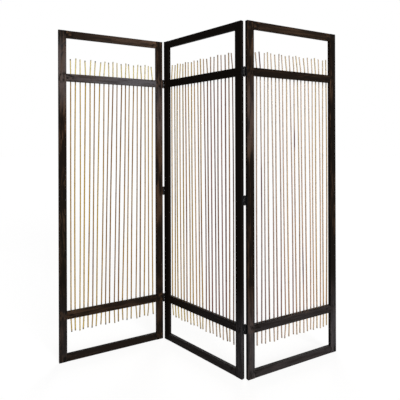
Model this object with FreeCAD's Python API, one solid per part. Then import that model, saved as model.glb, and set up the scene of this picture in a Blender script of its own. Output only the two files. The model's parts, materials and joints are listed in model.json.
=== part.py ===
import FreeCAD
import Part
import math
import os

# Folding room divider: three hinged panels that stand in a zigzag.
# Each panel is a dark wooden frame with two crossbars, and thin natural rods that pass
# through drilled holes in the crossbars and stand proud of them, top and bottom.
# Lengths are in millimetres and angles in degrees. +Z is up, X runs along the zigzag,
# the front of the screen looks towards -Y, and the origin is on the floor, under the
# middle of the centre panel.
# One panel is drawn in its own coordinates: u along its width, v from its front face to
# its back face, and z up from the floor. It is then turned and moved into the zigzag.

# Frame of one panel
panel_height = 1829.0
panel_width = 610.0
frame_thickness = 20.0
stile_width = 42.0
rail_height = 40.0
crossbar_height = 42.0
upper_window_height = 198.0
lower_window_height = 192.0
arris_radius = 2.0

# Dowels glued into the frame's joints
dowel_radius = 4.0
dowel_depth_in_stile = 18.0
dowel_depth_in_rail = 12.0
dowel_spacing = 20.0
dowel_glue_gap = 0.1
dowel_end_gap = 1.0
dowel_chamfer = 1.0

# Rods
rods_per_panel = 20
rod_butt_radius = 3.7
rod_tip_radius = 3.2
rod_top_projection = 85.0
rod_bottom_projection = 74.0
rod_length_scatter = 5.0
rod_hole_clearance = 0.15
rod_hole_scatter = 2.0
rod_bow = 3.5
wall_beside_dowels = 2.5
rod_girth_share = 0.08
bay_station_shares = (0.17, 0.34, 0.5, 0.66, 0.83)

# The rods fan out a little: half-way across a panel their tops stand this share of the
# space between two rods to the right of their feet
rod_fan_shares = {"left": 0.9, "centre": -0.5, "right": -0.6}

# Uneven places and sizes follow a sequence that never repeats, one for each kind
scatter_step_share = 0.618
scatter_kind_share = 0.37
scatter_kinds = ("lower_hole", "upper_hole", "top_end", "bottom_end", "girth", "sideways_bow", "depth_bow")

# How far the free ends of the rods lean along the panel's width, in degrees, left to right
top_lean_degrees = {
    "left": (-1, 2, 0, -2, 3, 3, 5, 4, -1, 0, 0, -2, 2, -3, 0, 3, -3, 1, 0, -6),
    "centre": (4, 4, 3, 4, 1, 0, 0, 0, -1, -1, -2, -2, -4, 0, 1, 0, -1, -1, -1, -6),
    "right": (-6, -5, 0, -2, -3, -4, 0, -4, -6, -4, -5, -7, -8, -7, -4, -4, -5, -3, 0, -1),
}
bottom_lean_degrees = {
    "left": (3, 1, 0, -3, 0, -3, -3, -3, 1, -1, 2, 0, 2, -1, -1, 4, -2, 2, -5, 2),
    "centre": (7, 5, 6, 3, 5, 4, 3, 5, 5, 5, 0, -2, 4, 4, 3, 5, 1, 6, 1, 1),
    "right": (0, 0, -1, 2, 2, -1, 2, -5, -2, 1, 1, -1, 0, 2, -1, -3, 0, -1, -1, 0),
}

# Butt hinges, screwed to the edges of the stiles
hinge_height = 50.0
hinge_leaf_thickness = 1.8
hinge_pin_radius = 2.3
hinge_pin_clearance = 0.06
end_knuckle_height = 12.0
knuckle_end_gap = 0.3
knuckle_running_gap = 0.4
pin_stand_off = 1.0
leaf_edge_margin = 3.0
leaf_corner_radius = 2.0
pin_head_radius = 3.3
pin_head_height = 1.8
pin_head_rounding = 1.2

# Countersunk wood screws of the hinges
screw_shank_radius = 1.6
screw_head_radius = 3.3
screw_head_height = 1.6
screw_length = 18.0
screw_point_length = 4.0
screw_point_radius = 0.4
screw_hole_clearance = 0.1
screw_hole_end_gap = 1.0
screw_spread = 17.0
screw_stagger = 2.2
screw_recess_length = 3.6
screw_recess_width = 0.8
screw_recess_depth = 0.9

# How the screen stands, how far a cutting tool runs past what it cuts, and how close two
# places lie to count as one
rest_opening_degrees = 108.0
cut_overrun = 1.0
same_place_gap = 0.01

# Heights and places that follow from the sizes above
top_rail_bottom = panel_height - rail_height
upper_bar_top = top_rail_bottom - upper_window_height
upper_bar_bottom = upper_bar_top - crossbar_height
lower_bar_bottom = rail_height + lower_window_height
lower_bar_top = lower_bar_bottom + crossbar_height
rail_start = stile_width
rail_end = panel_width - stile_width
mid_thickness = frame_thickness / 2
rod_margin = (dowel_depth_in_rail + dowel_end_gap + wall_beside_dowels
              + rod_butt_radius * (1 + rod_girth_share) + rod_hole_clearance + rod_hole_scatter)
rod_pitch = (rail_end - rail_start - 2 * rod_margin) / (rods_per_panel - 1)

knuckle_bore_radius = hinge_pin_radius + hinge_pin_clearance
knuckle_radius = knuckle_bore_radius + hinge_leaf_thickness
leaf_inner_face = knuckle_radius - hinge_leaf_thickness
knuckle_shoulder = math.sqrt(knuckle_radius ** 2 - leaf_inner_face ** 2)
leaf_start = knuckle_shoulder + knuckle_running_gap
leaf_end = pin_stand_off + frame_thickness - leaf_edge_margin
middle_knuckle_height = hinge_height - 2 * (end_knuckle_height + knuckle_end_gap)
upper_hinge_z = (upper_bar_top + upper_bar_bottom) / 2
lower_hinge_z = (lower_bar_top + lower_bar_bottom) / 2
hinge_heights = {
    "top": upper_hinge_z,
    "middle": (upper_hinge_z + lower_hinge_z) / 2,
    "bottom": lower_hinge_z,
}
zigzag_degrees = (180.0 - rest_opening_degrees) / 2

panels = ("left", "centre", "right")

UP = FreeCAD.Vector(0, 0, 1)
ALONG = FreeCAD.Vector(1, 0, 0)


def block(u_ends, v_ends, z_ends):
    """A box between two places along each direction, in either order."""
    corner = FreeCAD.Vector(min(u_ends), min(v_ends), min(z_ends))
    lengths = [max(ends) - min(ends) for ends in (u_ends, v_ends, z_ends)]
    return Part.makeBox(*lengths, corner)


def edges_along(shape, direction):
    """The straight edges of a shape that run along a direction."""
    found = []
    for edge in shape.Edges:
        run = edge.Vertexes[-1].Point - edge.Vertexes[0].Point
        if run.Length > 0 and abs(abs(run.normalize().dot(direction)) - 1) < 1e-6:
            found.append(edge)
    return found


def eased(bar, grain):
    """A bar with its four long arrises rounded over."""
    return bar.makeFillet(arris_radius, edges_along(bar, grain))


def scatter_share(panel, index, kind):
    """An uneven but repeatable number between -1 and 1 for one feature of one rod."""
    rod_number = panels.index(panel) * rods_per_panel + index + 1
    turns = scatter_step_share * rod_number + scatter_kind_share * scatter_kinds.index(kind)
    return 2 * (turns % 1) - 1


# Dowelled frame

rail_spans = {
    "top_rail": (top_rail_bottom, panel_height),
    "upper_crossbar": (upper_bar_bottom, upper_bar_top),
    "lower_crossbar": (lower_bar_bottom, lower_bar_top),
    "bottom_rail": (0, rail_height),
}


def dowel_rows(z_ends):
    """Heights of the two dowels at each end of a rail."""
    middle = sum(z_ends) / 2
    return (middle - dowel_spacing / 2, middle + dowel_spacing / 2)


def dowel_rod(joint, towards_rail, z, extra_radius, extra_length):
    """A cylinder across a joint between stile and rail: a dowel, or the hole for one."""
    start = joint - towards_rail * (dowel_depth_in_stile + extra_length)
    length = dowel_depth_in_stile + dowel_depth_in_rail + 2 * extra_length
    return Part.makeCylinder(dowel_radius + extra_radius, length,
                             FreeCAD.Vector(start, mid_thickness, z), ALONG * towards_rail)


def dowel_places():
    """Joint line, direction into the rail and height of every dowel of one panel."""
    return [(joint, towards_rail, z)
            for z_ends in rail_spans.values()
            for joint, towards_rail in ((rail_start, 1), (rail_end, -1))
            for z in dowel_rows(z_ends)]


def dowels():
    """The dowels of one panel, each with chamfered ends."""
    pins = []
    for joint, towards_rail, z in dowel_places():
        pin = dowel_rod(joint, towards_rail, z, 0, 0)
        rims = [edge for edge in pin.Edges if isinstance(edge.Curve, Part.Circle)]
        pins.append(pin.makeChamfer(dowel_chamfer, rims))
    return Part.makeCompound(pins)


def drilled(piece, holes):
    """A piece with a set of holes cut from it."""
    return piece.cut(Part.makeCompound(holes)).removeSplitter()


def dowel_holes():
    return [dowel_rod(joint, towards_rail, z, dowel_glue_gap, dowel_end_gap)
            for joint, towards_rail, z in dowel_places()]


def stile(u_start, hinge_edges):
    """A full-height upright, drilled for its dowels and for the screws of its hinges."""
    bar = block((u_start, u_start + stile_width), (0, frame_thickness), (0, panel_height))
    screw_holes = [screw_hole(edge, y, z, screw_length + screw_hole_end_gap)
                   for edge in hinge_edges for y, z in screw_places()]
    return drilled(eased(bar, UP), dowel_holes() + screw_holes)


def rail(name, holes):
    """A cross member between the stiles: a rail, or a crossbar with holes for the rods."""
    bar = block((rail_start, rail_end), (0, frame_thickness), rail_spans[name])
    return drilled(eased(bar, ALONG), dowel_holes() + holes)


# Natural rods

def rod_radius(panel, index, share_of_height):
    """Radius of a rod, which tapers from its butt at the bottom to its tip at the top."""
    girth = 1 + rod_girth_share * scatter_share(panel, index, "girth")
    return girth * (rod_butt_radius + (rod_tip_radius - rod_butt_radius) * share_of_height)


def rod_hole_u(panel, index, bar):
    """Where a rod passes through the lower or the upper crossbar, measured along the panel."""
    fan = rod_fan_shares[panel] * rod_pitch * math.sin(math.pi * index / (rods_per_panel - 1))
    shift = fan / 2 if bar == "upper" else -fan / 2
    scatter = rod_hole_scatter * scatter_share(panel, index, f"{bar}_hole")
    return rail_start + rod_margin + index * rod_pitch + shift + scatter


def free_end(lean_degrees, index, reach):
    """How far the free end of a rod leans aside over its reach beyond a crossbar."""
    return reach * math.tan(math.radians(lean_degrees[index % len(lean_degrees)]))


def rod_stations(panel, index):
    """Places along one rod, from its bottom end to its top end: u, v and z."""
    low_u = rod_hole_u(panel, index, "lower")
    high_u = rod_hole_u(panel, index, "upper")
    top_reach = rod_top_projection + rod_length_scatter * scatter_share(panel, index, "top_end")
    bottom_reach = rod_bottom_projection + rod_length_scatter * scatter_share(panel, index, "bottom_end")
    bottom_u = low_u + free_end(bottom_lean_degrees[panel], index, bottom_reach)
    top_u = high_u + free_end(top_lean_degrees[panel], index, top_reach)
    stations = [(bottom_u, mid_thickness, lower_bar_bottom - bottom_reach),
                (low_u, mid_thickness, lower_bar_bottom),
                (low_u, mid_thickness, lower_bar_top)]
    sideways_bow = rod_bow * scatter_share(panel, index, "sideways_bow")
    depth_bow = rod_bow * scatter_share(panel, index, "depth_bow")
    for share in bay_station_shares:
        arch = math.sin(math.pi * share)
        stations.append((low_u + (high_u - low_u) * share + sideways_bow * arch,
                         mid_thickness + depth_bow * arch,
                         lower_bar_top + (upper_bar_bottom - lower_bar_top) * share))
    stations += [(high_u, mid_thickness, upper_bar_bottom),
                 (high_u, mid_thickness, upper_bar_top),
                 (top_u, mid_thickness, upper_bar_top + top_reach)]
    return stations


def rod(panel, index):
    """One rod: round all the way, gently bowed, straight where a crossbar holds it."""
    rings = []
    for u, v, z in rod_stations(panel, index):
        radius = rod_radius(panel, index, z / panel_height)
        rings.append(Part.Wire(Part.makeCircle(radius, FreeCAD.Vector(u, v, z), UP)))
    return Part.makeLoft(rings, True, True)


def rods(panel):
    return Part.makeCompound([rod(panel, index) for index in range(rods_per_panel)])


def rod_holes(panel, bar):
    """The holes through a crossbar, each drilled to suit its own rod."""
    low, high = rail_spans[f"{bar}_crossbar"]
    holes = []
    for index in range(rods_per_panel):
        radius = rod_radius(panel, index, low / panel_height) + rod_hole_clearance
        start = FreeCAD.Vector(rod_hole_u(panel, index, bar), mid_thickness, low - cut_overrun)
        holes.append(Part.makeCylinder(radius, high - low + 2 * cut_overrun, start, UP))
    return holes


# Butt hinges
# A hinge is drawn from its pin: x runs from the pin into the panel that the leaf is on,
# and y runs from the pin through the panel's thickness. An edge of a panel says where its
# pin is and which way x and y run there.

def panel_edge(end, pin_face):
    """The pin's place beside one edge of a panel, and the signs of x and y there."""
    if end == "start":
        u_pin, x_sign = -knuckle_radius, 1
    else:
        u_pin, x_sign = panel_width + knuckle_radius, -1
    if pin_face == "front":
        v_pin, y_sign = -pin_stand_off, 1
    else:
        v_pin, y_sign = frame_thickness + pin_stand_off, -1
    return {"u": u_pin, "v": v_pin, "x_sign": x_sign, "y_sign": y_sign}


def at_pin(edge, x, y, z):
    """A point given from the pin, in the panel's own coordinates."""
    return FreeCAD.Vector(edge["u"] + edge["x_sign"] * x, edge["v"] + edge["y_sign"] * y, z)


def leaf_plate(edge, z_ends):
    """The flat of a leaf on the edge of the stile, cut back clear of the other leaf's knuckle."""
    first = at_pin(edge, leaf_inner_face, leaf_start, min(z_ends))
    last = at_pin(edge, knuckle_radius, leaf_end, max(z_ends))
    return block((first.x, last.x), (first.y, last.y), z_ends)


def knuckle(edge, z_ends):
    """A stretch of leaf whose end is rolled round the pin: a tangent strip, an arc and a bore."""
    low, high = z_ends
    tangent = at_pin(edge, knuckle_radius, 0, low)
    outer = at_pin(edge, knuckle_radius, leaf_end, low)
    inner = at_pin(edge, leaf_inner_face, leaf_end, low)
    shoulder = at_pin(edge, leaf_inner_face, knuckle_shoulder, low)
    far_side = at_pin(edge, -knuckle_radius, 0, low)
    outline = Part.Wire([Part.LineSegment(tangent, outer).toShape(),
                         Part.LineSegment(outer, inner).toShape(),
                         Part.LineSegment(inner, shoulder).toShape(),
                         Part.Arc(shoulder, far_side, tangent).toShape()])
    roll = Part.Face(outline).extrude(UP * (high - low))
    bore = Part.makeCylinder(knuckle_bore_radius, high - low + 2 * cut_overrun,
                             at_pin(edge, 0, 0, low - cut_overrun), UP)
    return roll.cut(bore)


def screw_places():
    """Distance from the pin and height of each screw of the hinges on one edge."""
    centre = (leaf_start + leaf_end) / 2
    return [(centre + sign * screw_stagger, middle + step * screw_spread)
            for middle in hinge_heights.values()
            for step, sign in ((-1, -1), (0, 1), (1, -1))]


def screw_hole(edge, y, z, depth):
    """A straight hole for a screw's shank, from its head's face into the stile."""
    return Part.makeCylinder(screw_shank_radius + screw_hole_clearance, depth,
                             at_pin(edge, leaf_inner_face, y, z), ALONG * edge["x_sign"])


def countersink(edge, y, z):
    """The cone in a leaf that takes a screw's head."""
    return Part.makeCone(screw_head_radius + screw_hole_clearance,
                         screw_shank_radius + screw_hole_clearance,
                         screw_head_height, at_pin(edge, leaf_inner_face, y, z),
                         ALONG * edge["x_sign"])


def leaf(edge, middle, knuckle_spans, plate_spans):
    """One leaf: flats and rolled knuckles in turn, with rounded corners and screw holes."""
    pieces = [knuckle(edge, (middle + low, middle + high)) for low, high in knuckle_spans]
    pieces += [leaf_plate(edge, (middle + low, middle + high)) for low, high in plate_spans]
    whole = pieces[0].fuse(pieces[1:]).removeSplitter()
    corner_v = at_pin(edge, 0, leaf_end, 0).y
    corners = [side for side in edges_along(whole, ALONG)
               if abs(side.Vertexes[0].Point.y - corner_v) < same_place_gap
               and abs(abs(side.Vertexes[0].Point.z - middle) - hinge_height / 2) < same_place_gap]
    whole = whole.makeFillet(leaf_corner_radius, corners)
    holes = []
    for y, z in screw_places():
        if abs(z - middle) < hinge_height / 2:
            holes += [screw_hole(edge, y, z, hinge_leaf_thickness + cut_overrun), countersink(edge, y, z)]
    return drilled(whole, holes)


def two_knuckle_leaf(edge, middle):
    """The leaf on the centre panel, with a knuckle at each end."""
    half = hinge_height / 2
    inner = half - end_knuckle_height
    return leaf(edge, middle, [(-half, -inner), (inner, half)], [(-inner, inner)])


def one_knuckle_leaf(edge, middle):
    """The leaf on an outer panel, with one long knuckle between the other leaf's two."""
    half = hinge_height / 2
    inner = middle_knuckle_height / 2
    return leaf(edge, middle, [(-inner, inner)], [(-half, -inner), (inner, half)])


def hinge_pin(edge, middle):
    """The pin, with a rounded head seated on each end knuckle."""
    low = middle - hinge_height / 2
    shank = Part.makeCylinder(hinge_pin_radius, hinge_height, at_pin(edge, 0, 0, low), UP)
    heads = []
    for height, direction in ((low, -1), (low + hinge_height, 1)):
        head = Part.makeCylinder(pin_head_radius, pin_head_height,
                                 at_pin(edge, 0, 0, height), UP * direction)
        rim_z = height + direction * pin_head_height
        rims = [side for side in head.Edges
                if isinstance(side.Curve, Part.Circle) and abs(side.Curve.Center.z - rim_z) < same_place_gap]
        heads.append(head.makeFillet(pin_head_rounding, rims))
    return shank.fuse(heads).removeSplitter()


def screw(edge, y, z):
    """A countersunk screw with a cross recess, a plain shank and a point."""
    inward = ALONG * edge["x_sign"]
    face = leaf_inner_face
    head = Part.makeCone(screw_head_radius, screw_shank_radius, screw_head_height,
                         at_pin(edge, face, y, z), inward)
    shank_end = face + screw_length - screw_point_length
    shank_start = face + screw_head_height
    shank = Part.makeCylinder(screw_shank_radius, shank_end - shank_start,
                              at_pin(edge, shank_start, y, z), inward)
    point = Part.makeCone(screw_shank_radius, screw_point_radius, screw_point_length,
                          at_pin(edge, shank_end, y, z), inward)
    recesses = []
    for long_y, long_z in ((screw_recess_length, screw_recess_width),
                           (screw_recess_width, screw_recess_length)):
        first = at_pin(edge, face - cut_overrun, y - long_y / 2, z - long_z / 2)
        last = at_pin(edge, face + screw_recess_depth, y + long_y / 2, z + long_z / 2)
        recesses.append(block((first.x, last.x), (first.y, last.y), (first.z, last.z)))
    return head.fuse([shank, point]).removeSplitter().cut(Part.makeCompound(recesses))


def screws(edge):
    return Part.makeCompound([screw(edge, y, z) for y, z in screw_places()])


# Panels and their places in the zigzag

left_seam_on_centre = panel_edge("start", "front")
left_seam_on_left = panel_edge("finish", "front")
right_seam_on_centre = panel_edge("finish", "back")
right_seam_on_right = panel_edge("start", "back")


def panel_pieces(panel, first_stile, last_stile, start_edges, end_edges):
    """The pieces of one panel by name."""
    return {
        f"{panel}_{first_stile}": stile(0, start_edges),
        f"{panel}_{last_stile}": stile(rail_end, end_edges),
        f"{panel}_top_rail": rail("top_rail", []),
        f"{panel}_bottom_rail": rail("bottom_rail", []),
        f"{panel}_upper_crossbar": rail("upper_crossbar", rod_holes(panel, "upper")),
        f"{panel}_lower_crossbar": rail("lower_crossbar", rod_holes(panel, "lower")),
        f"{panel}_rods": rods(panel),
        f"{panel}_dowels": dowels(),
    }


def turned(degrees, fixed_point, goes_to):
    """A placement that turns about the vertical and carries one point of a panel to a place."""
    rotation = FreeCAD.Rotation(UP, degrees)
    return FreeCAD.Placement(goes_to - rotation.multVec(fixed_point), rotation)


centre_place = turned(-zigzag_degrees, FreeCAD.Vector(panel_width / 2, mid_thickness, 0),
                      FreeCAD.Vector(0, 0, 0))
left_pin = centre_place.multVec(at_pin(left_seam_on_centre, 0, 0, 0))
right_pin = centre_place.multVec(at_pin(right_seam_on_centre, 0, 0, 0))
left_place = turned(zigzag_degrees, at_pin(left_seam_on_left, 0, 0, 0), left_pin)
right_place = turned(zigzag_degrees, at_pin(right_seam_on_right, 0, 0, 0), right_pin)


def all_pieces():
    """Every piece by name, with the placement of the panel that it belongs to."""
    placed = {}

    def add(pieces, place):
        for name, shape in pieces.items():
            placed[name] = (shape, place)

    add(panel_pieces("left", "outer_stile", "hinge_stile", [], [left_seam_on_left]), left_place)
    add(panel_pieces("centre", "left_stile", "right_stile",
                     [left_seam_on_centre], [right_seam_on_centre]), centre_place)
    add(panel_pieces("right", "hinge_stile", "outer_stile", [right_seam_on_right], []), right_place)
    seams = (("left", left_seam_on_centre, left_seam_on_left, left_place),
             ("right", right_seam_on_centre, right_seam_on_right, right_place))
    for seam, centre_edge, outer_edge, outer_place in seams:
        for level, middle in hinge_heights.items():
            hinge = f"{seam}_{level}_hinge"
            add({f"{hinge}_two_knuckle_leaf": two_knuckle_leaf(centre_edge, middle),
                 f"{hinge}_pin": hinge_pin(centre_edge, middle)}, centre_place)
            add({f"{hinge}_one_knuckle_leaf": one_knuckle_leaf(outer_edge, middle)}, outer_place)
        add({f"centre_panel_{seam}_hinge_screws": screws(centre_edge)}, centre_place)
        add({f"{seam}_panel_hinge_screws": screws(outer_edge)}, outer_place)
    return placed


def main():
    os.makedirs("parts", exist_ok=True)
    for name, (shape, place) in all_pieces().items():
        solid = shape.transformed(place.toMatrix(), True)
        solid.exportStep(f"parts/{name}.step")
        print(name, len(solid.Solids), "solids", round(solid.Volume), "mm3",
              "valid" if solid.isValid() else "NOT VALID")
    print("left pin", tuple(round(c, 4) for c in left_pin))
    print("right pin", tuple(round(c, 4) for c in right_pin))
    print("rod pitch", round(rod_pitch, 3), "knuckle radius", round(knuckle_radius, 3))


main()
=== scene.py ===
import json
import math
import bpy
import numpy as np
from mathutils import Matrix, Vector

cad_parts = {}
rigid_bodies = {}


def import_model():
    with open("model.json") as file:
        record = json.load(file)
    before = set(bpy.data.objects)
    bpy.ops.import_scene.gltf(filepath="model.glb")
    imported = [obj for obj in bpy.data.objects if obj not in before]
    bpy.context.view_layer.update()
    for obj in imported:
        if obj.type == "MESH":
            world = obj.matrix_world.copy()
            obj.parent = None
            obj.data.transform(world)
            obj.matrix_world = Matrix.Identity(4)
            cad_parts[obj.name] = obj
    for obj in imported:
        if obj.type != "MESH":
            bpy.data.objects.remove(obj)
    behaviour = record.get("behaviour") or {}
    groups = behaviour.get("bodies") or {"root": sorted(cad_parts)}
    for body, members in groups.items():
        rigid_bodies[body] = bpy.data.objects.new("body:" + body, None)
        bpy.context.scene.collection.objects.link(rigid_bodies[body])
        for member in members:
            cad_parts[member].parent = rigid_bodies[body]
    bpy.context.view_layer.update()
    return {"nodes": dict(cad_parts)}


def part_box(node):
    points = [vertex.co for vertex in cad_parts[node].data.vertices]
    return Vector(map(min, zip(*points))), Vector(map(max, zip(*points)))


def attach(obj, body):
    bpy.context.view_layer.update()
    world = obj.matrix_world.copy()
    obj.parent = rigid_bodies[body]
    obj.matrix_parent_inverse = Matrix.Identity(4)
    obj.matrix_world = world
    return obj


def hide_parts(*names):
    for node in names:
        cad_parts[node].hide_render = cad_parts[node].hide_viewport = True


# The bench
# It is cleared of what a new file holds, and the jointed screen is stood on it. Lengths are in metres.

for leftover in list(bpy.data.objects):
    bpy.data.objects.remove(leftover)
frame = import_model()

# Stiles, rails and crossbars
# Each panel is a frame of planed open-grained hardwood, dowelled and glued at its joints. It is stained
# nearly black by hand: the stain lies thick in the grain and wears thin, and browner, in long patches.
# A grey painted sheen, standing for reflected glare, lies on some bars, on a band of some stiles and on
# some stiles' feet.

zigzag = math.radians(36.0)
quarter_turn = math.pi / 2
panel_turns = {"left": zigzag, "centre": -zigzag, "right": zigzag}
panel_stiles = {
    "left": ("outer_stile", "hinge_stile"),
    "centre": ("left_stile", "right_stile"),
    "right": ("hinge_stile", "outer_stile"),
}
cross_members = ("top_rail", "upper_crossbar", "lower_crossbar", "bottom_rail")


def put(tree, kind, feeds=None, **options):
    """Adds a shader node. Options are the node's own settings. A feed is a value for one of its inputs,
    by name or number, or another node's output, which is linked to it."""
    node = tree.nodes.new("ShaderNode" + kind)
    for option, choice in options.items():
        setattr(node, option, choice)
    for socket, source in (feeds or {}).items():
        if isinstance(source, bpy.types.NodeSocket):
            tree.links.new(source, node.inputs[socket])
        else:
            node.inputs[socket].default_value = source
    return node


def sums(tree, operation, *terms):
    """The result of a sum on one or more values."""
    return put(tree, "Math", dict(enumerate(terms)), operation=operation).outputs[0]


def vector_sums(tree, operation, *terms):
    """The result of a sum on one or more vectors."""
    return put(tree, "VectorMath", dict(enumerate(terms)), operation=operation).outputs[0]


def graded(tree, value, low, high, first=0.0, last=1.0):
    """A smooth step: first where the value is at low, last where it is at high."""
    feeds = {"Value": value, "From Min": low, "From Max": high, "To Min": first, "To Max": last}
    return put(tree, "MapRange", feeds, interpolation_type="SMOOTHSTEP").outputs[0]


def mixed(tree, share, first, second):
    """A mix of two colours: the first at share 0, the second at share 1."""
    return put(tree, "Mix", {0: share, 6: first, 7: second}, data_type="RGBA").outputs[2]


def coated(tree, ground, coats):
    """A ground colour under coats that are laid on in turn, each over the share given with it."""
    for share, coat in coats:
        ground = mixed(tree, share, ground, coat)
    return ground


def drawn_noise(tree, place, stretch, scale, detail):
    """Noise drawn out along the grain: its third coordinate is divided by the stretch before it is read.
    The scale is in cells to the metre across the grain."""
    drawn = vector_sums(tree, "MULTIPLY", place, (1.0, 1.0, 1.0 / stretch))
    return put(tree, "TexNoise", {"Vector": drawn, "Scale": scale, "Detail": detail}).outputs[0]


def grain_place(tree, lean, turn, middle=(0.0, 0.0, 0.0)):
    """Coordinates from a piece's middle, the third of them along its grain. The grain is upright, or leans
    over to lie level, and turns with the panel."""
    feeds = {"Vector": put(tree, "TexCoord").outputs["Object"], "Location": tuple(middle),
             "Rotation": (0.0, lean, turn)}
    return put(tree, "Mapping", feeds, vector_type="TEXTURE").outputs[0]


def new_finish(name):
    """A new material and its node tree."""
    material = bpy.data.materials.new(name)
    material.use_nodes = True
    return material, material.node_tree


def lay_finish(tree, colour, roughness, height, strength, relief, specular):
    """Feeds a material's shader with a colour, a roughness and a fine relief worked out from a height."""
    shader = tree.nodes["Principled BSDF"]
    bump = put(tree, "Bump", {"Height": height, "Strength": strength, "Distance": relief})
    tree.links.new(colour, shader.inputs["Base Color"])
    tree.links.new(roughness, shader.inputs["Roughness"])
    tree.links.new(bump.outputs[0], shader.inputs["Normal"])
    shader.inputs["Specular IOR Level"].default_value = specular


def new_group(name, inputs, outputs):
    """An empty shader node group, the sockets of its input end and those of its output end."""
    group = bpy.data.node_groups.new(name, "ShaderNodeTree")
    for direction, sockets in (("INPUT", inputs), ("OUTPUT", outputs)):
        for socket, kind in sockets.items():
            group.interface.new_socket(socket, in_out=direction, socket_type="NodeSocket" + kind)
    return group, group.nodes.new("NodeGroupInput").outputs, group.nodes.new("NodeGroupOutput").inputs


def timber_figure():
    """The figure of solid wood. Growth rings are distances from a pith line that runs along the member
    beside it, made uneven by noise. The rest is noise drawn out along the member, from fine fibres and
    pores, by streaks and blots, to long patches."""
    ring_width = 0.0042
    ring_taper = 0.03
    ring_sway = 0.03
    sway_noise = (5.0, 16.0, 2.0)
    ring_noise = {"Distortion": 1.5, "Detail": 2.0, "Detail Scale": 0.6}
    # The spacing of the waves in a wave texture of scale 1.
    unscaled_wave = 2 * math.pi / 20
    # The stretch, the scale and the detail of each layer's noise.
    layers = {
        "Fibres": (45.0, 1100.0, 3.0),
        "Pores": (30.0, 1500.0, 1.0),
        "Streaks": (12.0, 85.0, 3.0),
        "Patches": (5.0, 17.0, 3.0),
        "Blots": (2.0, 75.0, 3.0),
    }
    pore_bounds = (0.56, 0.66)
    group, given, result = new_group(
        "timber_figure", {"Place": "Vector", "Pith": "Vector", "Seed": "Float"},
        dict.fromkeys(("Rings", *layers), "Float"))
    along_board = put(group, "CombineXYZ", {"Z": given["Seed"]}).outputs[0]
    place = vector_sums(group, "ADD", given["Place"], along_board)
    from_pith = vector_sums(group, "SUBTRACT", given["Place"], given["Pith"])
    tapered = vector_sums(group, "MULTIPLY", from_pith, (1.0, 1.0, ring_taper))
    sway = sums(group, "MULTIPLY", drawn_noise(group, place, *sway_noise), ring_sway)
    swayed = vector_sums(group, "ADD", tapered, sway)
    rings = put(group, "TexWave", {"Vector": swayed, "Scale": unscaled_wave / ring_width, **ring_noise},
                wave_type="RINGS", rings_direction="Z", wave_profile="SAW").outputs[1]
    figure = {layer: drawn_noise(group, place, *noise) for layer, noise in layers.items()}
    figure["Pores"] = graded(group, figure["Pores"], *pore_bounds)
    figure["Rings"] = rings
    for layer, value in figure.items():
        group.links.new(value, result[layer])
    return group


def member_edges():
    """Masks from the distances of a point to a member's faces: its rounded arrises, where two long faces
    are near, its sawn ends, and the glued joints at its ends and, on a stile, at the crossbars."""
    arris_depths = (0.0034, 0.0014)
    sawn_end_depths = (0.0006, 0.0002)
    end_joint_depths = (0.055, 0.025)
    crossbar_joint_reach = (0.042, 0.012)
    group, given, result = new_group(
        "member_edges", {"Place": "Vector", "Half Size": "Vector", "Crossbar": "Float"},
        {"Arris": "Float", "Sawn End": "Float", "Joint": "Float"})
    from_middle = vector_sums(group, "ABSOLUTE", given["Place"])
    inset = vector_sums(group, "SUBTRACT", given["Half Size"], from_middle)
    across, through, from_end = put(group, "SeparateXYZ", {0: inset}).outputs
    up_or_down = put(group, "SeparateXYZ", {0: from_middle}).outputs[2]
    from_crossbar = sums(group, "ABSOLUTE", sums(group, "SUBTRACT", up_or_down, given["Crossbar"]))
    end_joint = graded(group, from_end, *end_joint_depths)
    crossbar_joint = graded(group, from_crossbar, *crossbar_joint_reach)
    arris = graded(group, sums(group, "MAXIMUM", across, through), *arris_depths)
    group.links.new(arris, result["Arris"])
    group.links.new(graded(group, from_end, *sawn_end_depths), result["Sawn End"])
    group.links.new(sums(group, "MAXIMUM", end_joint, crossbar_joint), result["Joint"])
    return group


timber_figure_group = timber_figure()
member_edges_group = member_edges()
thick_stain = (0.006, 0.0044, 0.0034, 1.0)
thin_stain = (0.085, 0.049, 0.0295, 1.0)
bare_brown = (0.125, 0.066, 0.033, 1.0)
# A grey painted sheen, standing for reflected glare.
painted_sheen_grey = (0.112, 0.103, 0.110, 1.0)
# How thin the stain has worn on each member. Below 0 it lies thicker than a plain coat. The drift is how
# much thinner it has worn at a rail's right end than at its middle.
# Below 0 the centre panel's members are darker also as painted shade, as that panel faces away from the key
# lamp.
stain_wear_and_shade = {
    "left_outer_stile": 0.22, "left_hinge_stile": 0.36, "left_top_rail": 0.6,
    "left_upper_crossbar": 0.5, "left_lower_crossbar": 0.26, "left_bottom_rail": 0.05,
    "centre_left_stile": -0.4, "centre_right_stile": -0.4, "centre_top_rail": -0.2,
    "centre_upper_crossbar": -0.3, "centre_lower_crossbar": -0.1, "centre_bottom_rail": -0.1,
    "right_hinge_stile": 0.24, "right_outer_stile": 0.1, "right_top_rail": 0.39,
    "right_upper_crossbar": 0.05, "right_lower_crossbar": 0.0, "right_bottom_rail": 0.0,
}
worn_drift = {"left_top_rail": 0.6}
wear_step = 0.4
# The share of painted sheen on a rail or crossbar, at its left end and from its right half's middle on.
painted_bar_sheen = {
    "left_top_rail": (0.0, 0.1), "left_upper_crossbar": (0.5, 1.25), "left_bottom_rail": (0.03, 0.02),
    "centre_lower_crossbar": (0.0, 0.15), "centre_bottom_rail": (0.2, 0.25),
    "right_lower_crossbar": (0.18, 0.22), "right_bottom_rail": (0.26, 0.27),
}
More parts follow.
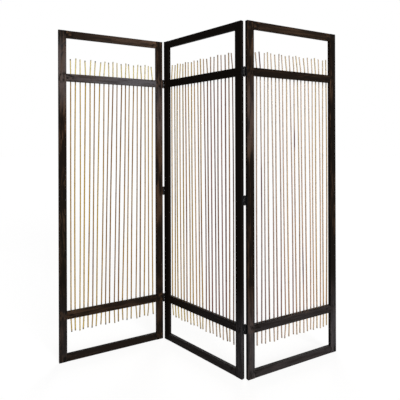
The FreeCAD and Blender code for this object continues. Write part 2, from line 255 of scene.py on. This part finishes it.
# Shares of painted sheen on a stile: in a band, with the band's height, and on its foot, as floor glare.
painted_stile_bands = {
    "left_outer_stile": (0.56, 1.6), "left_hinge_stile": (0.42, 1.4), "right_hinge_stile": (0.24, 1.34),
}
sheen_band_reach = 0.26
painted_foot_sheen = {
    "left_outer_stile": 0.1, "centre_right_stile": 0.5, "right_hinge_stile": 0.42, "right_outer_stile": 0.5,
}
foot_sheen_reach = 0.5
# The members are cut from a stack of boards in turn, and these three from boards further down it.
further_boards = {"left_outer_stile": 198, "left_top_rail": 54, "right_hinge_stile": 90}
board_length = 2.7


def lie_of(member, turn):
    """A member's middle, and its half sizes along its panel, through it and upwards. Its corners are turned
    back by the panel's turn, and the lowest and highest of them are taken."""
    mesh = frame["nodes"][member].data
    corners = np.empty(3 * len(mesh.vertices))
    mesh.vertices.foreach_get("co", corners)
    back = np.array([[math.cos(turn), math.sin(turn), 0], [-math.sin(turn), math.cos(turn), 0], [0, 0, 1]])
    level = corners.reshape(-1, 3) @ back.T
    low, high = level.min(0), level.max(0)
    return back.T @ ((low + high) / 2), (high - low) / 2


def board_figure(tree, place, member, number):
    """The figure of the board that a member is cut from. The boards follow each other along the grain, and
    the pith moves about beside the member by a sine and a cosine of the member's number."""
    pith_aside = 0.05
    aside_step = 2.4
    pith_behind = 0.07
    pith_sway = 0.03
    sway_step = 1.7
    pith = (pith_aside * math.sin(aside_step * number),
            pith_behind + pith_sway * math.cos(sway_step * number), 0.0)
    board = number + further_boards.get(member, 0)
    feeds = {"Place": place, "Pith": pith, "Seed": board_length * board}
    return put(tree, "Group", feeds, node_tree=timber_figure_group).outputs


def painted_stile_sheen(tree, member, height):
    """Shares of painted sheen on a stile: in a band, less with the distance from the band's height, and
    at the foot, less with the height above the floor."""
    full_band_share = 0.25
    full_foot_share = 0.3
    band_sheen, band_height = painted_stile_bands.get(member, (0.0, 0.0))
    foot_sheen = painted_foot_sheen.get(member, 0.0)
    from_band = sums(tree, "ABSOLUTE", sums(tree, "SUBTRACT", height, band_height))
    in_sheen_band = graded(tree, from_band, sheen_band_reach, full_band_share * sheen_band_reach, 0.0, band_sheen)
    foot_sheen_share = graded(tree, height, foot_sheen_reach, full_foot_share * foot_sheen_reach, 0.0, foot_sheen)
    return in_sheen_band, foot_sheen_share


def thinned_share(tree, figured, wear_and_shade, calm):
    """The share of thin stain, which grows with the figure between two bounds. Wear brings both bounds
    down, and painted shade, set below 0, lifts them; in calm wood they lie further apart. Both wear and
    calm leave the stain a little thin everywhere."""
    thick_below = 1.23
    thin_above = 1.49
    worn_cover = 0.2
    calm_cover = 0.25
    shift = wear_step * wear_and_shade
    least = max(worn_cover * wear_and_shade + calm_cover * calm, 0.0)
    return graded(tree, figured, thick_below - shift, thin_above - shift + calm, least)


def bared_share(tree, figured, blots, edges, wear_and_shade):
    """The share of bare wood: arrises rubbed where the figure is high, and pale blots at the joints."""
    rubbed_bounds = (1.1, 1.35)
    rubbed_cover = 0.3
    blot_bounds = (0.5, 0.36)
    most = max(wear_and_shade, 0.0)
    rubbed = graded(tree, figured, *rubbed_bounds, 0.0, rubbed_cover * most)
    blotted = graded(tree, blots, *blot_bounds, 0.0, most)
    return sums(tree, "MAXIMUM", sums(tree, "MULTIPLY", edges["Arris"], rubbed),
                sums(tree, "MULTIPLY", edges["Joint"], blotted))


def soaked_share(tree, figure, edges):
    """The share of stain that has soaked in: smudges at the joints, the sawn ends and the pores."""
    smudge_bounds = (0.5, 0.62)
    smudge_cover = 0.85
    pore_cover = 0.6
    smudge = graded(tree, figure["Blots"], *smudge_bounds, 0.0, smudge_cover)
    soaked = sums(tree, "MAXIMUM", sums(tree, "MULTIPLY", edges["Joint"], smudge), edges["Sawn End"])
    return sums(tree, "MAXIMUM", soaked, sums(tree, "MULTIPLY", figure["Pores"], pore_cover))


def stained_wood(member, turn, grain, number):
    """Stained wood for one member, in coordinates from its middle: first across its face, second through
    its thickness and third along its grain, which is upright or level. Its figure is a weighted sum of
    layers. Over the thick stain lie, in turn, thin stain, bare wood, a grey painted sheen on the front
    that stands for reflected glare, and stain that has soaked in."""
    figure_weights = {"Rings": 0.16, "Streaks": 0.8, "Fibres": 0.35}
    painted_band_lightening = 0.35
    thick_foot_height = 1.3
    thick_foot_share = 0.4
    level_calm = 0.22
    sheen_end_share = 0.5
    streak_bounds = (0.35, 0.65)
    streak_sheen = (0.45, 1.05)
    no_sheen_share = 0.5
    full_sheen_share = -0.8
    sheen_bounds = (0.9, 1.4)
    wood_roughness = (0.58, 0.72)
    fibre_rise = 0.7
    pore_drop = -0.8
    far_away = 10.0

    upright = grain == "upright"
    wear_and_shade = stain_wear_and_shade[member]
    middle, half = lie_of(member, turn)
    crossbar_height = lie_of(member.split("_")[0] + "_upper_crossbar", turn)[0][2]
    material, tree = new_finish("stained_wood_" + member)
    place = grain_place(tree, 0.0 if upright else quarter_turn, turn, middle)
    to_back, along_grain = put(tree, "SeparateXYZ", {0: place}).outputs[1:]
    figure = board_figure(tree, place, member, number)
    edges = put(tree, "Group", {"Place": place, "Half Size": tuple(half if upright else half[::-1]),
                                "Crossbar": crossbar_height - middle[2] if upright else far_away},
                node_tree=member_edges_group).outputs

    figured = figure["Patches"]
    for layer, weight in figure_weights.items():
        figured = sums(tree, "MULTIPLY_ADD", figure[layer], weight, figured)
    if upright:
        height = sums(tree, "ADD", along_grain, middle[2])
        in_sheen_band, foot_sheen_share = painted_stile_sheen(tree, member, height)
        painted_sheen = sums(tree, "ADD", in_sheen_band, foot_sheen_share)
        # The painted sheen band also thins the stain there, a browner painted sheen.
        figured = sums(tree, "MULTIPLY_ADD", in_sheen_band, painted_band_lightening, figured)
        above_foot = graded(tree, height, 0.0, thick_foot_height, thick_foot_share)
        thinned = sums(tree, "MULTIPLY", thinned_share(tree, figured, wear_and_shade, 0.0), above_foot)
    else:
        left_sheen, right_sheen = painted_bar_sheen.get(member, (0.0, 0.0))
        painted_sheen = graded(tree, along_grain, -half[0], sheen_end_share * half[0], left_sheen, right_sheen)
        drift = wear_step * worn_drift.get(member, 0.0) / half[0]
        figured = sums(tree, "MULTIPLY_ADD", along_grain, drift, figured)
        thinned = thinned_share(tree, figured, wear_and_shade, level_calm)
    # The grey painted sheen lies on the front face only, the face that caught the glare.
    on_front = graded(tree, to_back, no_sheen_share * half[1], full_sheen_share * half[1])
    painted_sheen = sums(tree, "MULTIPLY", painted_sheen, graded(tree, figure["Streaks"], *streak_bounds, *streak_sheen))
    painted_sheen = sums(tree, "MULTIPLY", painted_sheen, on_front)
    colour = coated(tree, thick_stain, (
        (thinned, thin_stain),
        (bared_share(tree, figured, figure["Blots"], edges, wear_and_shade), bare_brown),
        (painted_sheen, painted_sheen_grey),
        (soaked_share(tree, figure, edges), thick_stain)))
    roughness = graded(tree, figured, *sheen_bounds, *wood_roughness)
    fibres = sums(tree, "MULTIPLY", figure["Fibres"], fibre_rise)
    grain_height = sums(tree, "MULTIPLY_ADD", figure["Pores"], pore_drop, fibres)
    lay_finish(tree, colour, roughness, grain_height, strength=0.5, relief=0.0003, specular=0.025)
    frame["nodes"][member].data.materials[0] = material


member_number = 0
for panel, turn in panel_turns.items():
    for stile in panel_stiles[panel]:
        member_number += 1
        stained_wood(f"{panel}_{stile}", turn, "upright", member_number)
    for cross_member in cross_members:
        member_number += 1
        stained_wood(f"{panel}_{cross_member}", turn, "level", member_number)

# Dowels
# Two bare beech dowels hold each end of each rail and crossbar. They are turned, with chamfered ends, and
# glued into blind holes, so they show only when a joint is taken apart.

beech_pale = (0.56, 0.37, 0.22, 1.0)
beech_dark = (0.38, 0.22, 0.115, 1.0)
fibre_bounds = (0.3, 0.7)


def bare_beech(panel, turn):
    """Beech with its grain along the panel: pale wood, short dark flecks and fine fibres."""
    fleck_noise = (6.0, 1300.0, 2.0)
    fleck_bounds = (0.52, 0.68)
    fibre_noise = (30.0, 900.0, 3.0)
    beech_roughness = (0.55, 0.72)
    material, tree = new_finish("bare_beech_" + panel)
    place = grain_place(tree, quarter_turn, turn)
    flecks = graded(tree, drawn_noise(tree, place, *fleck_noise), *fleck_bounds)
    fibres = drawn_noise(tree, place, *fibre_noise)
    colour = mixed(tree, flecks, beech_pale, beech_dark)
    roughness = graded(tree, fibres, *fibre_bounds, *beech_roughness)
    lay_finish(tree, colour, roughness, fibres, strength=0.3, relief=0.0002, specular=0.5)
    frame["nodes"][panel + "_dowels"].data.materials[0] = material


for panel, turn in panel_turns.items():
    bare_beech(panel, turn)

# Rods
# Each panel has twenty natural canes, thicker at the foot, with a swollen joint at every span or so.
# They are slid through drilled holes in the two crossbars, glued there, and left long at both ends. They
# are golden or rosy, some darker or paler than their neighbours, and bleached and weathered at the ends.

rod_count = 20
rod_number = np.arange(rod_count)
rod_butt_radius = 0.0037
rod_tip_radius = 0.0032
girth_scatter = 0.08
rod_oval = 0.035
rod_bow = 0.0035
rod_top_reach = 0.085
rod_bottom_reach = 0.074
reach_scatter = 0.005
cut_ease = 0.0005
knots_per_rod = 7
knot_swell = 0.00032
knot_half_length = 0.0032
rod_rings = 96
rod_sides = 12
# The first and last holes clear the holes of the dowels in the crossbar's ends.
dowel_hole_depth = 0.013
wood_beside_dowels = 0.0025
hole_clearance = 0.00015
hole_scatter = 0.002
largest_hole_radius = rod_butt_radius * (1 + girth_scatter) + hole_clearance
hole_margin = dowel_hole_depth + wood_beside_dowels + largest_hole_radius + hole_scatter
# Half-way across a panel the rods' tops stand this many hole spaces to the right of their feet.
rod_fan = {"left": 0.9, "centre": -0.5, "right": -0.6}
# How far the free ends lean along the panel, in degrees, from left to right.
top_lean = {
    "left": (-1, 2, 0, -2, 3, 3, 5, 4, -1, 0, 0, -2, 2, -3, 0, 3, -3, 1, 0, -6),
    "centre": (4, 4, 3, 4, 1, 0, 0, 0, -1, -1, -2, -2, -4, 0, 1, 0, -1, -1, -1, -6),
    "right": (-6, -5, 0, -2, -3, -4, 0, -4, -6, -4, -5, -7, -8, -7, -4, -4, -5, -3, 0, -1),
}
bottom_lean = {
    "left": (3, 1, 0, -3, 0, -3, -3, -3, 1, -1, 2, 0, 2, -1, -1, 4, -2, 2, -5, 2),
    "centre": (7, 5, 6, 3, 5, 4, 3, 5, 5, 5, 0, -2, 4, 4, 3, 5, 1, 6, 1, 1),
    "right": (0, 0, -1, 2, 2, -1, 2, -5, -2, 1, 1, -1, 0, 2, -1, -3, 0, -1, -1, 0),
}
# Each kind of unevenness follows the same sequence from a start of its own.
scatter_kinds = {
    "lower_hole": 0, "upper_hole": 1, "top_end": 2, "bottom_end": 3, "girth": 4, "sideways_bow": 5,
    "depth_bow": 6, "knots": 7, "tone": 15, "rosiness": 16, "weathering": 17,
}
golden_step = 0.618
kind_step = 0.37


def scatter(panel, kind, after=0):
    """An uneven number from -1 to 1 for each rod of a panel: the golden step times the rod's number over
    all panels, plus a start for each kind of unevenness, less its whole turns."""
    number = list(panel_turns).index(panel) * rod_count + rod_number + 1
    return 2 * ((golden_step * number + kind_step * (scatter_kinds[kind] + after)) % 1) - 1


def bar_heights(panel):
    """The lowest and the highest level of a panel's lower crossbar, and then of its upper one."""
    return [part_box(f"{panel}_{bar}_crossbar")[end].z for bar in ("lower", "upper") for end in (0, 1)]


def rod_levels(panel, foot, length):
    """Heights of the rods' knots and of their rings. The knots are spaced evenly, give or take. The rings
    are even too, with six more about each knot and one beside each cut."""
    knot_wander = 0.32 / knots_per_rod
    about_knot = knot_half_length * np.array([-2.2, -1.0, -0.3, 0.3, 1.0, 2.2])
    knot_share = (np.arange(knots_per_rod) + 0.5) / knots_per_rod
    knot_shift = np.stack([scatter(panel, "knots", knot) for knot in range(knots_per_rod)], 1)
    knots = foot[:, None] + (knot_share + knot_wander * knot_shift) * length[:, None]
    knot_rings = (knots[:, :, None] + about_knot).reshape(rod_count, -1)
    plain_rings = foot[:, None] + np.linspace(0, 1, rod_rings) * length[:, None]
    cut_rings = np.stack([foot + cut_ease, foot + length - cut_ease], 1)
    return knots, np.sort(np.concatenate([plain_rings, knot_rings, cut_rings], 1), 1)


def free_end(beyond, reach, lean):
    """How far a rod leans aside beyond a crossbar: straight at the end, and bending within a little of the
    hole, so that the lean grows as x squared over x plus a small share."""
    bend = 0.12
    share = np.clip(beyond / reach, 0, None)
    return reach * np.tan(np.radians(lean)) * share ** 2 * (1 + bend) / (share + bend)


def rod_line(panel, z, bars, pitch, top_reach, bottom_reach):
    """Where each rod's middle lies along the panel and through it, at heights z. In the bay it runs between
    its two holes and bows by half a sine; beyond the bars it leans."""
    low_foot, low_top, high_foot, high_top = bars
    fan = rod_fan[panel] * pitch * np.sin(np.pi * rod_number / (rod_count - 1))
    low = hole_margin + rod_number * pitch - fan / 2 + hole_scatter * scatter(panel, "lower_hole")
    high = hole_margin + rod_number * pitch + fan / 2 + hole_scatter * scatter(panel, "upper_hole")
    share = np.clip((z - low_top) / (high_foot - low_top), 0, 1)
    bow = rod_bow * np.sin(np.pi * share)
    along = low[:, None] + (high - low)[:, None] * share + bow * scatter(panel, "sideways_bow")[:, None]
    along = along + free_end(z - high_top, top_reach[:, None], np.array(top_lean[panel])[:, None])
    along = along + free_end(low_foot - z, bottom_reach[:, None], np.array(bottom_lean[panel])[:, None])
    return along, bow * scatter(panel, "depth_bow")[:, None]


def rod_radius(panel, z, knot, to_cut, phase):
    """The rods' radius at heights z. It tapers upwards, waves a little by two sines, swells at the knots
    and is eased at the cuts by a square root."""
    wave_shares = (0.018, 0.012)
    wave_rates = (23, 61)
    wave_starts = (1, 3)
    cut_share = 0.86
    panel_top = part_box(panel + "_top_rail")[1].z
    girth = 1 + girth_scatter * scatter(panel, "girth")[:, None]
    radius = girth * (rod_butt_radius + (rod_tip_radius - rod_butt_radius) * z / panel_top)
    waves = sum(share * np.sin(rate * z + start * phase)
                for share, rate, start in zip(wave_shares, wave_rates, wave_starts))
    radius = radius * (1 + waves) + knot_swell * knot
    return radius * (cut_share + (1 - cut_share) * np.sqrt(np.clip(to_cut / cut_ease, 0, 1)))


# Canes differ in hue from a panel's first rod to its last, from golden at 0 to rosy at 1.
rosy_share = {"left": (-0.2, -0.1), "centre": (0.0, 1.0), "right": (1.1, 0.8)}
rosy_scatter = 0.3
# They differ in depth and in smoke over the four quarters of a panel's width, and single ones stand out.
quarter_middles = (0.125, 0.375, 0.625, 0.875)
browning = {
    "left": (-0.5, 0.05, 0.1, 0.25), "centre": (0.0, -0.6, 0.8, 0.3), "right": (0.6, -0.1, -0.05, -0.05),
}
smoking = {"left": (0.0, 0.0, 0.0, 0.0), "centre": (0.0, 0.0, 0.0, 0.12), "right": (0.35, 0.1, 0.0, 0.0)}
dark_rods = {"left": [0, 5, 8, 9, 10, 11, 16], "centre": [5, 14, 15, 17], "right": [0, 1, 6, 9]}
pale_rods = {
    "left": [1, 2, 6, 17, 19], "centre": [0, 1, 2, 10, 18, 19], "right": [8, 14, 15, 16, 17, 18],
}
middle_tone = 0.5
standout_tone = 0.45
plain_tone = 0.15
# Some have a darker stretch, smoked on two panels: the rod's number, and the heights it runs between.
dark_stretches = {
    "left": ((4, 0.57, 0.75), (16, 0.58, 0.95)),
    "centre": ((5, 0.60, 0.90), (10, 0.55, 0.86), (14, 0.45, 0.98)),
    "right": ((1, 0.80, 1.10), (1, 1.56, 1.74), (10, 1.16, 1.28), (12, 0.42, 0.62)),
}
stretch_tone = 0.45
stretch_smoke = {"left": 0.0, "centre": 0.1, "right": 0.5}
# How far light has bleached them below and above the lower crossbar, and below and above the upper one.
bleaching = {
    "left": (0.3, 0.0, 0.0, 1.0), "centre": (0.68, 0.0, 0.05, 0.45), "right": (0.65, 0.1, 0.85, 1.0),
}
dark_rod_bleaching = 0.85
weathering = {"left": 0.5, "centre": 0.35, "right": 0.2}


def cane_shades(panel, z, bars):
    """What colours each ring of a panel's canes, or each cane: its tone, smoke, bleaching, rosiness and
    weathering. A dark stretch is a flat-topped bell, with the fourth power of the distance from its middle
    as its exponent."""
    across_panel = (rod_number + 0.5) / rod_count
    own_tone = plain_tone * scatter(panel, "tone")
    own_tone[dark_rods[panel]] = standout_tone
    own_tone[pale_rods[panel]] = -standout_tone
    tone = middle_tone + np.interp(across_panel, quarter_middles, browning[panel]) + own_tone
    stretch = np.zeros(z.shape)
    for rod, low, high in dark_stretches[panel]:
        stretch[rod] += np.exp(-((2 * z[rod] - low - high) / (high - low)) ** 4)
    smoked = np.interp(across_panel, quarter_middles, smoking[panel])
    bleached = np.interp(z, bars, bleaching[panel]) * (1 - stretch)
    bleached[dark_rods[panel]] *= dark_rod_bleaching
    rosy = np.linspace(*rosy_share[panel], rod_count) + rosy_scatter * scatter(panel, "rosiness")
    weathered = weathering[panel] * (1 + scatter(panel, "weathering"))
    return {"tone": tone[:, None] + stretch_tone * stretch,
            "smoked": np.maximum(smoked[:, None], stretch_smoke[panel] * stretch),
            "bleached": bleached,
            "rosy": np.clip(rosy, 0, 1)[:, None],
            "weathered": weathered[:, None]}


def rod_bundle(panel, turn):
    """All rods of a panel as one mesh. A ring of points, a little oval, lies square to each rod's line at
    each height, quads join the rings, and a flat cut closes each end. The mesh carries the values that the
    cane's colours follow, and a place in the noise that no other rod has."""
    rod_apart = 0.37
    panel_apart = 11.0
    bars = bar_heights(panel)
    middle, half = lie_of(panel + "_upper_crossbar", turn)
    pitch = (2 * half[0] - 2 * hole_margin) / (rod_count - 1)
    top_reach = rod_top_reach + reach_scatter * scatter(panel, "top_end")
    bottom_reach = rod_bottom_reach + reach_scatter * scatter(panel, "bottom_end")
    foot = bars[0] - bottom_reach
    length = bars[3] + top_reach - foot
    knots, z = rod_levels(panel, foot, length)
    along, through = rod_line(panel, z, bars, pitch, top_reach, bottom_reach)
    to_knot = (z[:, :, None] - knots[:, None, :]) / knot_half_length
    knot = np.exp(-to_knot ** 2).sum(2)
    to_cut = np.minimum(z - foot[:, None], (foot + length)[:, None] - z)
    phase = 2 * np.pi * rod_number[:, None] * golden_step
    radius = rod_radius(panel, z, knot, to_cut, phase)

    around = 2 * np.pi * np.arange(rod_sides) / rod_sides
    oval = radius[:, :, None] * (1 + rod_oval * np.cos(2 * (around - phase[:, :, None])))
    across = oval * np.cos(around)
    outward = oval * np.sin(around)
    slope = (np.gradient(along, axis=1) / np.gradient(z, axis=1))[:, :, None]
    tilt = 1 / np.sqrt(1 + slope ** 2)
    aside = along[:, :, None] + across * tilt - half[0]
    behind = through[:, :, None] + outward
    rise = z[:, :, None] - across * slope * tilt
    points = np.stack([middle[0] + aside * math.cos(turn) - behind * math.sin(turn),
                       middle[1] + aside * math.sin(turn) + behind * math.cos(turn), rise], -1)

    shape = points.shape[:3]
    number = np.arange(np.prod(shape)).reshape(shape)
    beside = np.roll(number, -1, 2)
    walls = np.stack([number[:, :-1], beside[:, :-1], beside[:, 1:], number[:, 1:]], -1).reshape(-1, 4)
    cuts = np.concatenate([number[:, 0, ::-1], number[:, -1]])
    mesh = bpy.data.meshes.new(panel + "_canes")
    mesh.from_pydata(points.reshape(-1, 3), [], walls.tolist() + cuts.tolist())
    mesh.polygons.foreach_set("use_smooth", np.arange(len(mesh.polygons)) < len(walls))

    place = np.stack([across, outward, np.broadcast_to(z[:, :, None], shape)], -1)
    place = place + rod_apart * rod_number[:, None, None, None]
    place = place + panel_apart * list(panel_turns).index(panel)
    mesh.attributes.new("cane_place", "FLOAT_VECTOR", "POINT").data.foreach_set("vector", place.ravel())
    values = cane_shades(panel, z, bars)
    values.update(from_cut=to_cut, knot=knot, cut=to_cut < cut_ease / 2)
    for name, value in values.items():
        spread = np.broadcast_to(value[:, :, None], shape).astype(float)
        mesh.attributes.new("cane_" + name, "FLOAT", "POINT").data.foreach_set("value", spread.ravel())
    return bpy.data.objects.new(panel + "_canes", mesh)


golden_cane = ((0.49, 0.315, 0.045, 1.0), (0.37, 0.205, 0.026, 1.0), (0.225, 0.105, 0.013, 1.0))
rosy_cane = ((0.59, 0.34, 0.19, 1.0), (0.43, 0.215, 0.13, 1.0), (0.25, 0.10, 0.068, 1.0))
smoked_grey = (0.15, 0.115, 0.135, 1.0)
bleached_gold = (0.80, 0.68, 0.28, 1.0)
bleached_rose = (0.88, 0.725, 0.55, 1.0)
knot_brown = (0.13, 0.075, 0.042, 1.0)
# Painted shade on the canes inside the bay, next to the crossbars.
painted_bar_shade = (0.045, 0.030, 0.021, 1.0)
bar_shade_length = 0.028
weathered_grey = (0.10, 0.092, 0.078, 1.0)
weathered_length = 0.013
cut_pale = (0.52, 0.41, 0.26, 1.0)


def three_tones(tree, depth, tones):
    """A pale, a middle and a dark colour in turn, as depth goes from 0 to 1."""
    pale_to_middle = (0.0, 0.55)
    middle_to_dark = (0.5, 1.0)
    pale, middle, dark = tones
    return coated(tree, pale, ((graded(tree, depth, *pale_to_middle), middle),
                               (graded(tree, depth, *middle_to_dark), dark)))


def painted_bar_shade_share(tree):
    """The share of painted shade on the canes beside the crossbars: most at the face towards the bay,
    and none a little way into the bay or at the bar's other face."""
    low_foot, low_top, high_foot, high_top = bar_heights("centre")
    height = put(tree, "SeparateXYZ", {0: put(tree, "TexCoord").outputs["Object"]}).outputs[2]
    from_low = sums(tree, "MULTIPLY", graded(tree, height, low_foot, low_top),
                    graded(tree, height, low_top + bar_shade_length, low_top))
    from_high = sums(tree, "MULTIPLY", graded(tree, height, high_top, high_foot),
                     graded(tree, height, high_foot - bar_shade_length, high_foot))
    return sums(tree, "ADD", from_low, from_high)


def cane():
    """Peeled cane, golden or rosy and paler or darker from rod to rod and along each rod, with fine
    lengthwise fibres. Some stretches are smoked and the free ends bleached. The knots are ringed brown,
    shade is painted on beside the bars, and the ends are weathered grey about pale cuts."""
    drift_noise = (40.0, 130.0, 2.0)
    drift_contrast = 1.8
    fibre_noise = (60.0, 1500.0, 3.0)
    fibre_contrast = 0.5
    bleached_cover = 0.85
    knot_cover = 0.2
    bar_shade_cover = 0.75
    full_weather_share = 0.3
    cane_roughness = (0.48, 0.64)
    material, tree = new_finish("natural_cane")
    place = put(tree, "Attribute", attribute_name="cane_place").outputs["Vector"]
    tone, rosy, smoked, bleached, weathered, from_cut, knot, cut = (
        put(tree, "Attribute", attribute_name="cane_" + name).outputs["Fac"]
        for name in ("tone", "rosy", "smoked", "bleached", "weathered", "from_cut", "knot", "cut"))
    drift = drawn_noise(tree, place, *drift_noise)
    fibres = drawn_noise(tree, place, *fibre_noise)
    depth = sums(tree, "SUBTRACT", tone, drift_contrast / 2)
    depth = sums(tree, "MULTIPLY_ADD", drift, drift_contrast, depth)
    depth = sums(tree, "SUBTRACT", depth, fibre_contrast / 2)
    depth = sums(tree, "MULTIPLY_ADD", fibres, fibre_contrast, depth)
    peeled = mixed(tree, rosy, three_tones(tree, depth, golden_cane), three_tones(tree, depth, rosy_cane))
    near_cut = graded(tree, from_cut, weathered_length, full_weather_share * weathered_length)
    colour = coated(tree, peeled, (
        (smoked, smoked_grey),
        (sums(tree, "MULTIPLY", bleached, bleached_cover), mixed(tree, rosy, bleached_gold, bleached_rose)),
        (sums(tree, "MULTIPLY", knot, knot_cover), knot_brown),
        (sums(tree, "MULTIPLY", painted_bar_shade_share(tree), bar_shade_cover), painted_bar_shade),
        (sums(tree, "MULTIPLY", near_cut, weathered), weathered_grey),
        (cut, cut_pale)))
    roughness = graded(tree, fibres, *fibre_bounds, *cane_roughness)
    lay_finish(tree, colour, roughness, fibres, strength=0.4, relief=0.0002, specular=0.02)
    return material


cane_material = cane()
for panel, turn in panel_turns.items():
    canes = rod_bundle(panel, turn)
    bpy.context.scene.collection.objects.link(canes)
    canes.data.materials.append(cane_material)
    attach(canes, panel + "_panel")
    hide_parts(panel + "_rods")

# Hinges
# Three butt hinges join each pair of panels, and their leaves are screwed flat to the stiles' edges.
# Leaves and pins are pressed and turned steel under black lacquer, rubbed grey in patches, the pins most.

hinge_lacquer = (0.009, 0.009, 0.010, 1.0)
hinge_rubbed = (0.038, 0.036, 0.035, 1.0)


def lacquer_marks():
    """Marks on black lacquered metal: fine orange-peel noise, and larger rubbed patches."""
    peel_noise = {"Scale": 1400.0, "Detail": 2.0}
    patch_noise = {"Scale": 160.0, "Detail": 5.0}
    rubbed_bounds = (0.52, 0.74)
    group, given, result = new_group(
        "lacquer_marks", {"Place": "Vector"}, {"Peel": "Float", "Rubbed": "Float"})
    peel = put(group, "TexNoise", {"Vector": given["Place"], **peel_noise}).outputs[0]
    patches = put(group, "TexNoise", {"Vector": given["Place"], **patch_noise}).outputs[0]
    group.links.new(peel, result["Peel"])
    group.links.new(graded(group, patches, *rubbed_bounds), result["Rubbed"])
    return group


lacquer_marks_group = lacquer_marks()


def black_lacquer(name, rubbed_share, satin):
    """Black lacquer on steel, greyer and duller in its rubbed patches."""
    dulling = 0.2
    material, tree = new_finish(name)
    marks = put(tree, "Group", {"Place": put(tree, "TexCoord").outputs["Object"]},
                node_tree=lacquer_marks_group).outputs
    share = sums(tree, "MULTIPLY", marks["Rubbed"], rubbed_share)
    colour = mixed(tree, share, hinge_lacquer, hinge_rubbed)
    roughness = graded(tree, marks["Rubbed"], 0.0, 1.0, satin, satin + dulling)
    lay_finish(tree, colour, roughness, marks["Peel"], strength=0.25, relief=0.0001, specular=0.15)
    return material


leaf_lacquer = black_lacquer("hinge_leaf_lacquer", rubbed_share=0.6, satin=0.34)
pin_lacquer = black_lacquer("hinge_pin_lacquer", rubbed_share=0.9, satin=0.28)
for seam in ("left", "right"):
    for level in ("top", "middle", "bottom"):
        for piece in ("two_knuckle_leaf", "one_knuckle_leaf"):
            frame["nodes"][f"{seam}_{level}_hinge_{piece}"].data.materials[0] = leaf_lacquer
        frame["nodes"][f"{seam}_{level}_hinge_pin"].data.materials[0] = pin_lacquer

# Hinge screws
# Three countersunk wood screws with cross recesses hold each leaf, their heads flush with it. They are
# blackened steel, rubbed brighter in patches by the driver.

screw_black = black_lacquer("blackened_screw", rubbed_share=1.0, satin=0.3)
for group_of_screws in ("left_panel", "centre_panel_left", "centre_panel_right", "right_panel"):
    frame["nodes"][group_of_screws + "_hinge_screws"].data.materials[0] = screw_black

# Floor, light and camera
# The screen stands on a white studio floor that runs into a white surround. One large soft lamp in front,
# to the right, lights the outer panels full on and skims the centre one. Another lights the back.

floor_half_size = 30.0
floor_white = (0.8, 0.8, 0.8, 1.0)
shadow_grey = (0.3, 0.3, 0.3, 1.0)
white = (1.0, 1.0, 1.0, 1.0)
floor_glow = 0.88
soft_fill = 0.1

floor_sheet = bpy.data.meshes.new("studio_floor")
floor_edge = floor_half_size * np.array([[-1, -1, 0], [1, -1, 0], [1, 1, 0], [-1, 1, 0]], float)
floor_sheet.from_pydata(floor_edge, [], [(0, 1, 2, 3)])
floor = bpy.data.objects.new("studio_floor", floor_sheet)
bpy.context.scene.collection.objects.link(floor)


def seen_directly(tree):
    """1 for rays that the eye, a mirror or a glass follows, and 0 for light that bounces about."""
    rays = put(tree, "LightPath").outputs
    seen = sums(tree, "MAXIMUM", rays["Is Camera Ray"], rays["Is Glossy Ray"])
    return sums(tree, "MAXIMUM", seen, rays["Is Transmission Ray"])


floor_paint, floor_tree = new_finish("studio_floor_white")
floor_tree.nodes.remove(floor_tree.nodes["Principled BSDF"])
matt_white = put(floor_tree, "BsdfDiffuse", {"Color": floor_white}).outputs[0]
shadow_keeper = put(floor_tree, "BsdfDiffuse", {"Color": shadow_grey}).outputs[0]
glow = put(floor_tree, "Emission", {"Color": white, "Strength": floor_glow}).outputs[0]
lit_white = put(floor_tree, "AddShader", {0: shadow_keeper, 1: glow}).outputs[0]
floor_look = put(floor_tree, "MixShader", {0: seen_directly(floor_tree), 1: matt_white, 2: lit_white})
floor_tree.links.new(floor_look.outputs[0], floor_tree.nodes["Material Output"].inputs["Surface"])
floor_sheet.materials.append(floor_paint)

surround = bpy.data.worlds.new("studio_surround")
surround.use_nodes = True
surround_tree = surround.node_tree
surround_light = surround_tree.nodes["Background"]
surround_strength = graded(surround_tree, seen_directly(surround_tree), 0.0, 1.0, soft_fill, 1.0)
surround_tree.links.new(surround_strength, surround_light.inputs["Strength"])
surround_light.inputs["Color"].default_value = white
bpy.context.scene.world = surround

lamp_softness = math.radians(28.0)
# Where each lamp shines from, and how strongly.
lamps = {"key_lamp": ((0.64, -0.77, 0.28), 2.45), "back_lamp": ((0.0, 0.97, 0.22), 1.6)}
for lamp_name, (lamp_from, lamp_strength) in lamps.items():
    lamp_data = bpy.data.lights.new(lamp_name, "SUN")
    lamp_data.angle = lamp_softness
    lamp_data.energy = lamp_strength
    lamp = bpy.data.objects.new(lamp_name, lamp_data)
    lamp.rotation_euler = Vector(lamp_from).to_track_quat("Z", "Y").to_euler()
    bpy.context.scene.collection.objects.link(lamp)

camera_roll = 0.003
camera_turn = 0.154
camera_data = bpy.data.cameras.new("camera")
camera_data.sensor_width = 36.0
camera_data.lens = 35.347
camera_data.shift_y = -0.14231
camera = bpy.data.objects.new("camera", camera_data)
camera.location = (0.3395, -2.1915, 1.2048)
camera.rotation_euler = (quarter_turn, camera_roll, camera_turn)
bpy.context.scene.collection.objects.link(camera)
bpy.context.scene.camera = camera
bpy.context.scene.view_settings.view_transform = "Standard"
